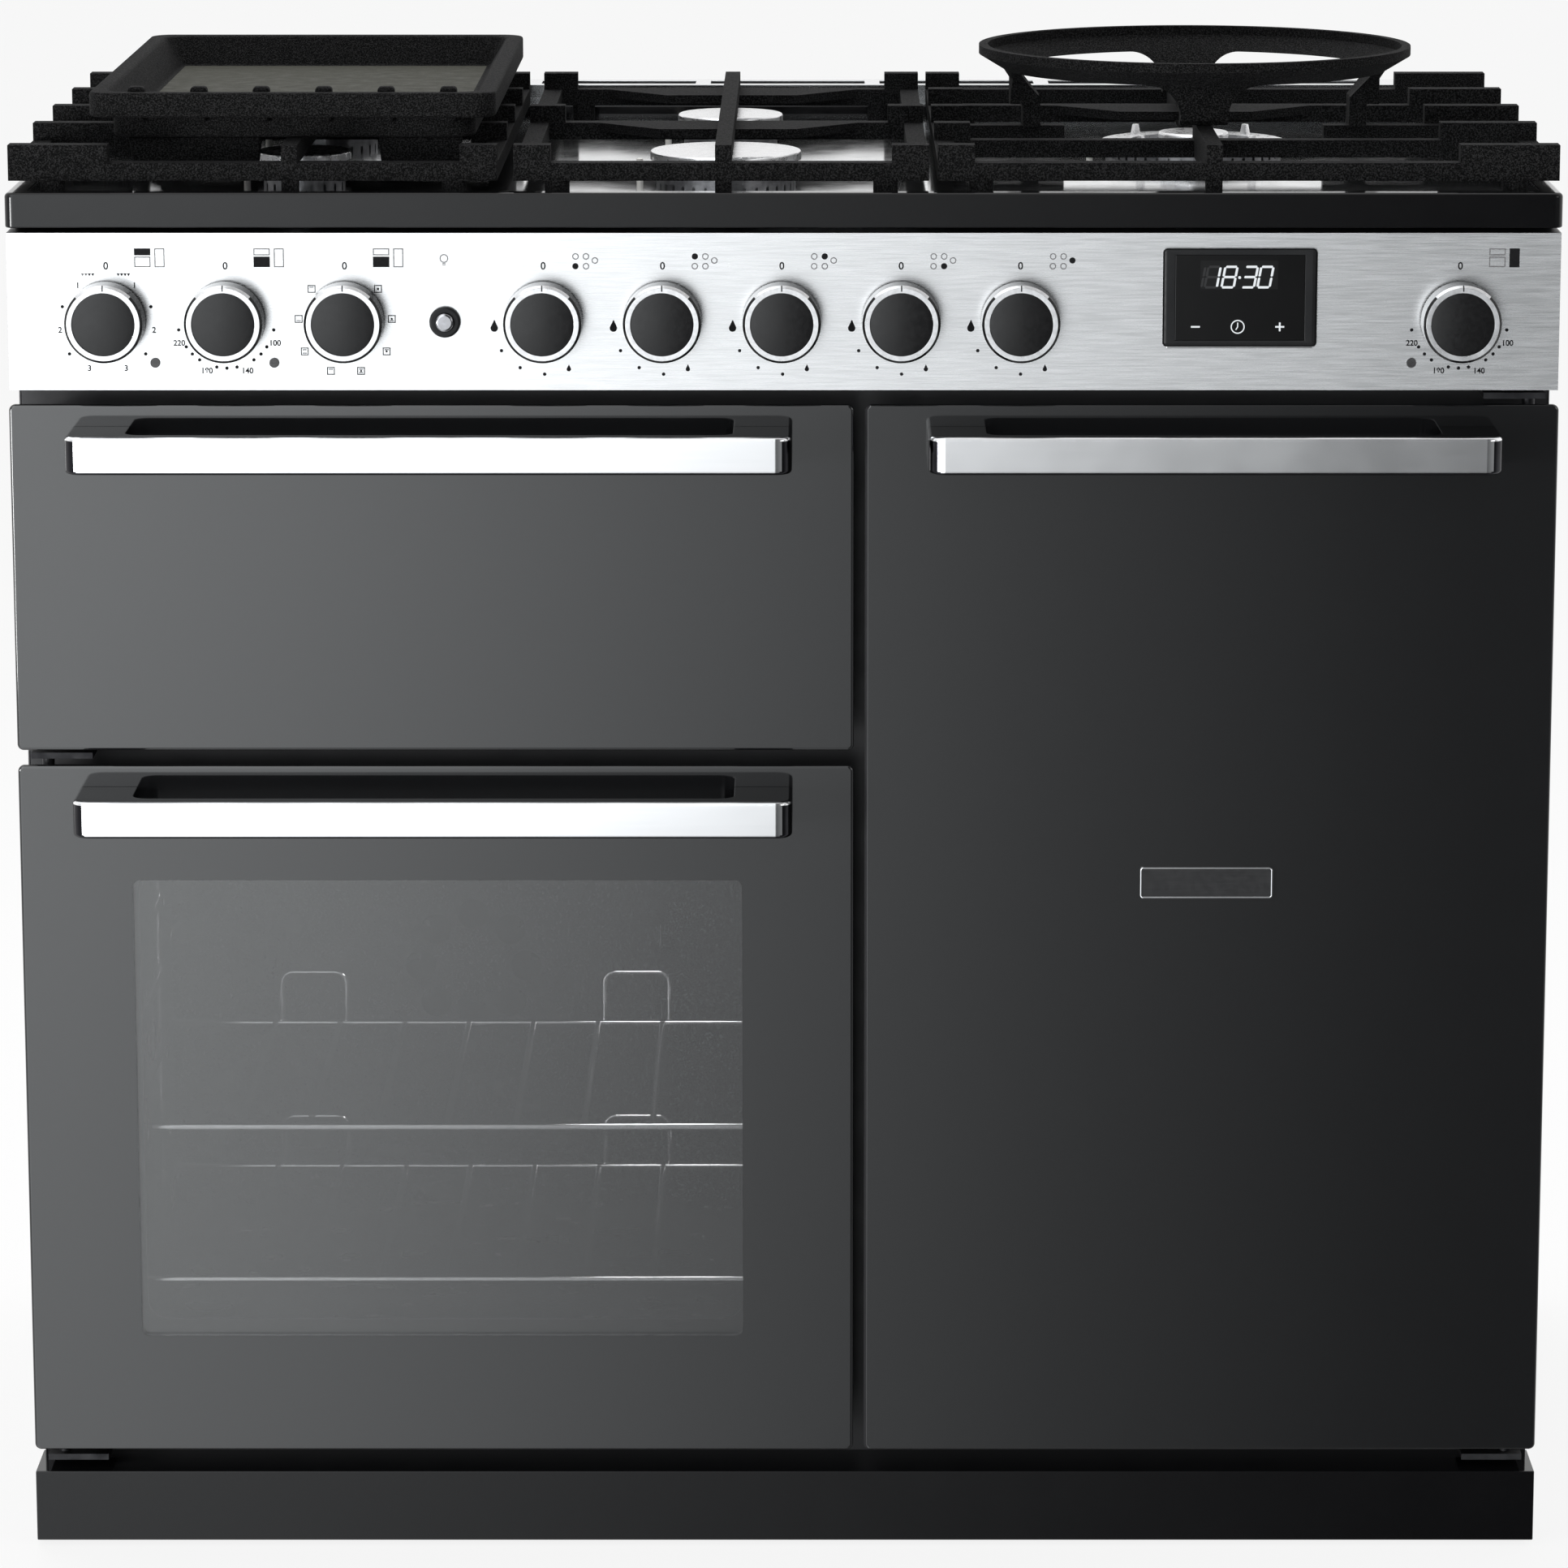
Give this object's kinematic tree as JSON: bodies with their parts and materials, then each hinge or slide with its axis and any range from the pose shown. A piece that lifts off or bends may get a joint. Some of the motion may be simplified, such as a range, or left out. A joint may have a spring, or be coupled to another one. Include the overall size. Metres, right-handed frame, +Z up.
{
  "type": "range cooker",
  "caption": "Free-standing dual-fuel range cooker with a gas hob, griddle, wok ring, drop-down grill door, windowed oven, tall oven, knobs and a timer.",
  "frame": {"origin": "on the floor, under the middle of the bounding box", "axes": "+Z up, -Y towards the cook (the doors face -Y), +X to the cook's right"},
  "size_m": [0.998, 0.655, 0.976],
  "materials": {
    "slate_enamel": "gloss slate enamel",
    "slate_glass": "tinted gloss glass",
    "brushed_steel": "brushed along X",
    "bright_chrome": "polished",
    "knob_metal": "satin chrome with a charcoal face",
    "casing_paint": "satin dark grey",
    "zinc_sheet": "galvanised sheet",
    "oven_enamel": "speckled vitreous enamel",
    "door_inner": "dark lacquered inner frame",
    "cast_iron": "matte enamelled casting",
    "burner_alloy": "cast and machined",
    "ceramic": "white ceramic",
    "pipe_brass": "drawn and cast",
    "black_plastic": "moulded",
    "timer_glass": "black gloss",
    "lamp_lens": "grey lens",
    "seal_rubber": "soft",
    "element_steel": "heat-tinted tube",
    "foot_plastic": "moulded"
  },
  "bodies": {
    "chassis": {"side_panels": "casing_paint", "back_panel": "zinc_sheet", "base_tray": "zinc_sheet", "levelling_feet": "foot_plastic", "front_frame": "casing_paint", "plinth": "slate_enamel", "hob_frame": "slate_enamel", "rear_vent": "brushed_steel", "hob_plate": "brushed_steel", "burner_crowns": "burner_alloy", "burner_caps": "burner_alloy", "spark_probes": "ceramic", "control_panel": "brushed_steel", "panel_bezels": "black_plastic", "timer_glass": "timer_glass", "indicator_lamps": "lamp_lens", "oven_switches": "black_plastic", "gas_pipes": "pipe_brass", "terminal_box": "black_plastic", "grill_liner": "oven_enamel", "left_oven_liner": "oven_enamel", "right_oven_liner": "oven_enamel", "fan_motors": "zinc_sheet", "heating_elements": "element_steel", "oven_seals": "seal_rubber", "oven_racks": "bright_chrome", "rack_ladders": "bright_chrome", "grill_pan": "oven_enamel", "hinge_brackets": "bright_chrome"},
    "grill_door": {"grill_door_skin": "slate_enamel", "grill_door_frame": "door_inner", "grill_door_handle": "bright_chrome"},
    "left_door": {"left_door_glass": "slate_glass", "left_door_frame": "door_inner", "left_door_handle": "bright_chrome"},
    "right_door": {"right_door_skin": "slate_enamel", "right_door_frame": "door_inner", "right_door_handle": "bright_chrome"},
    "left_fan": {"left_fan": "zinc_sheet"},
    "right_fan": {"right_fan": "zinc_sheet"},
    "pan_support_left": {"pan_support_left": "cast_iron"},
    "pan_support_centre": {"pan_support_centre": "cast_iron"},
    "pan_support_right": {"pan_support_right": "cast_iron"},
    "griddle": {"griddle": "cast_iron"},
    "wok_ring": {"wok_ring": "cast_iron"},
    "light_button": {"light_button": "bright_chrome"},
    "grill_knob": {"grill_knob": "knob_metal"},
    "left_oven_knob": {"left_oven_knob": "knob_metal"},
    "oven_function_knob": {"oven_function_knob": "knob_metal"},
    "right_oven_knob": {"right_oven_knob": "knob_metal"},
    "front_left_tap_spindle": {"front_left_tap_spindle": "bright_chrome"},
    "front_left_gas_knob": {"front_left_gas_knob": "knob_metal"},
    "rear_left_tap_spindle": {"rear_left_tap_spindle": "bright_chrome"},
    "rear_left_gas_knob": {"rear_left_gas_knob": "knob_metal"},
    "rear_centre_tap_spindle": {"rear_centre_tap_spindle": "bright_chrome"},
    "rear_centre_gas_knob": {"rear_centre_gas_knob": "knob_metal"},
    "front_centre_tap_spindle": {"front_centre_tap_spindle": "bright_chrome"},
    "front_centre_gas_knob": {"front_centre_gas_knob": "knob_metal"},
    "wok_tap_spindle": {"wok_tap_spindle": "bright_chrome"},
    "wok_gas_knob": {"wok_gas_knob": "knob_metal"}
  },
  "joints": [
    {"name": "grill_door_drop", "type": "hinge", "parent": "chassis", "child": "grill_door", "pos_m": [-0.22685, -0.2695, 0.5625], "axis": [1, 0, 0], "range_deg": [0, 90]},
    {"name": "left_door_swing", "type": "hinge", "parent": "chassis", "child": "left_door", "pos_m": [-0.481, -0.2595, 0.299], "axis": [0, 0, -1], "range_deg": [0, 110]},
    {"name": "right_door_swing", "type": "hinge", "parent": "chassis", "child": "right_door", "pos_m": [0.481, -0.2595, 0.418], "axis": [0, 0, 1], "range_deg": [0, 110]},
    {"name": "grill_knob_turn", "type": "hinge", "parent": "chassis", "child": "grill_knob", "pos_m": [-0.4345, -0.2875, 0.8235], "axis": [0, 1, 0], "range_deg": [-150, 150]},
    {"name": "left_oven_knob_turn", "type": "hinge", "parent": "chassis", "child": "left_oven_knob", "pos_m": [-0.358, -0.2875, 0.8235], "axis": [0, 1, 0], "range_deg": [0, 250]},
    {"name": "oven_function_knob_turn", "type": "hinge", "parent": "chassis", "child": "oven_function_knob", "pos_m": [-0.2815, -0.2875, 0.8235], "axis": [0, 1, 0], "range_deg": [0, 320]},
    {"name": "right_oven_knob_turn", "type": "hinge", "parent": "chassis", "child": "right_oven_knob", "pos_m": [0.4337, -0.2875, 0.8235], "axis": [0, 1, 0], "range_deg": [0, 250]},
    {"name": "front_left_tap_turn", "type": "hinge", "parent": "chassis", "child": "front_left_tap_spindle", "pos_m": [-0.1542, -0.2875, 0.8235], "axis": [0, -1, 0], "range_deg": [0, 210]},
    {"name": "front_left_knob_push", "type": "slide", "parent": "front_left_tap_spindle", "child": "front_left_gas_knob", "axis": [0, 1, 0], "range_m": [0, 0.004], "stiffness_N_per_m": 900, "springref_m": -0.002},
    {"name": "rear_left_tap_turn", "type": "hinge", "parent": "chassis", "child": "rear_left_tap_spindle", "pos_m": [-0.0777, -0.2875, 0.8235], "axis": [0, -1, 0], "range_deg": [0, 210]},
    {"name": "rear_left_knob_push", "type": "slide", "parent": "rear_left_tap_spindle", "child": "rear_left_gas_knob", "axis": [0, 1, 0], "range_m": [0, 0.004], "stiffness_N_per_m": 900, "springref_m": -0.002},
    {"name": "rear_centre_tap_turn", "type": "hinge", "parent": "chassis", "child": "rear_centre_tap_spindle", "pos_m": [-0.0012, -0.2875, 0.8235], "axis": [0, -1, 0], "range_deg": [0, 210]},
    {"name": "rear_centre_knob_push", "type": "slide", "parent": "rear_centre_tap_spindle", "child": "rear_centre_gas_knob", "axis": [0, 1, 0], "range_m": [0, 0.004], "stiffness_N_per_m": 900, "springref_m": -0.002},
    {"name": "front_centre_tap_turn", "type": "hinge", "parent": "chassis", "child": "front_centre_tap_spindle", "pos_m": [0.0753, -0.2875, 0.8235], "axis": [0, -1, 0], "range_deg": [0, 210]},
    {"name": "front_centre_knob_push", "type": "slide", "parent": "front_centre_tap_spindle", "child": "front_centre_gas_knob", "axis": [0, 1, 0], "range_m": [0, 0.004], "stiffness_N_per_m": 900, "springref_m": -0.002},
    {"name": "wok_tap_turn", "type": "hinge", "parent": "chassis", "child": "wok_tap_spindle", "pos_m": [0.1518, -0.2875, 0.8235], "axis": [0, -1, 0], "range_deg": [0, 210]},
    {"name": "wok_knob_push", "type": "slide", "parent": "wok_tap_spindle", "child": "wok_gas_knob", "axis": [0, 1, 0], "range_m": [0, 0.004], "stiffness_N_per_m": 900, "springref_m": -0.002},
    {"name": "light_button_push", "type": "slide", "parent": "chassis", "child": "light_button", "axis": [0, 1, 0], "range_m": [0, 0.0025], "stiffness_N_per_m": 700, "springref_m": -0.001},
    {"name": "pan_support_left_lift", "type": "slide", "parent": "chassis", "child": "pan_support_left", "axis": [0, 0, 1], "range_m": [0, 0.15]},
    {"name": "pan_support_centre_lift", "type": "slide", "parent": "chassis", "child": "pan_support_centre", "axis": [0, 0, 1], "range_m": [0, 0.15]},
    {"name": "pan_support_right_lift", "type": "slide", "parent": "chassis", "child": "pan_support_right", "axis": [0, 0, 1], "range_m": [0, 0.15]},
    {"name": "griddle_lift", "type": "slide", "parent": "pan_support_left", "child": "griddle", "axis": [0, 0, 1], "range_m": [0, 0.15]},
    {"name": "wok_ring_lift", "type": "slide", "parent": "pan_support_right", "child": "wok_ring", "axis": [0, 0, 1], "range_m": [0, 0.15]},
    {"name": "left_fan_spin", "type": "hinge", "parent": "chassis", "child": "left_fan", "pos_m": [-0.22685, 0.1825, 0.29775], "axis": [0, 1, 0], "continuous": true},
    {"name": "right_fan_spin", "type": "hinge", "parent": "chassis", "child": "right_fan", "pos_m": [0.27565, 0.1825, 0.41625], "axis": [0, 1, 0], "continuous": true}
  ]
}
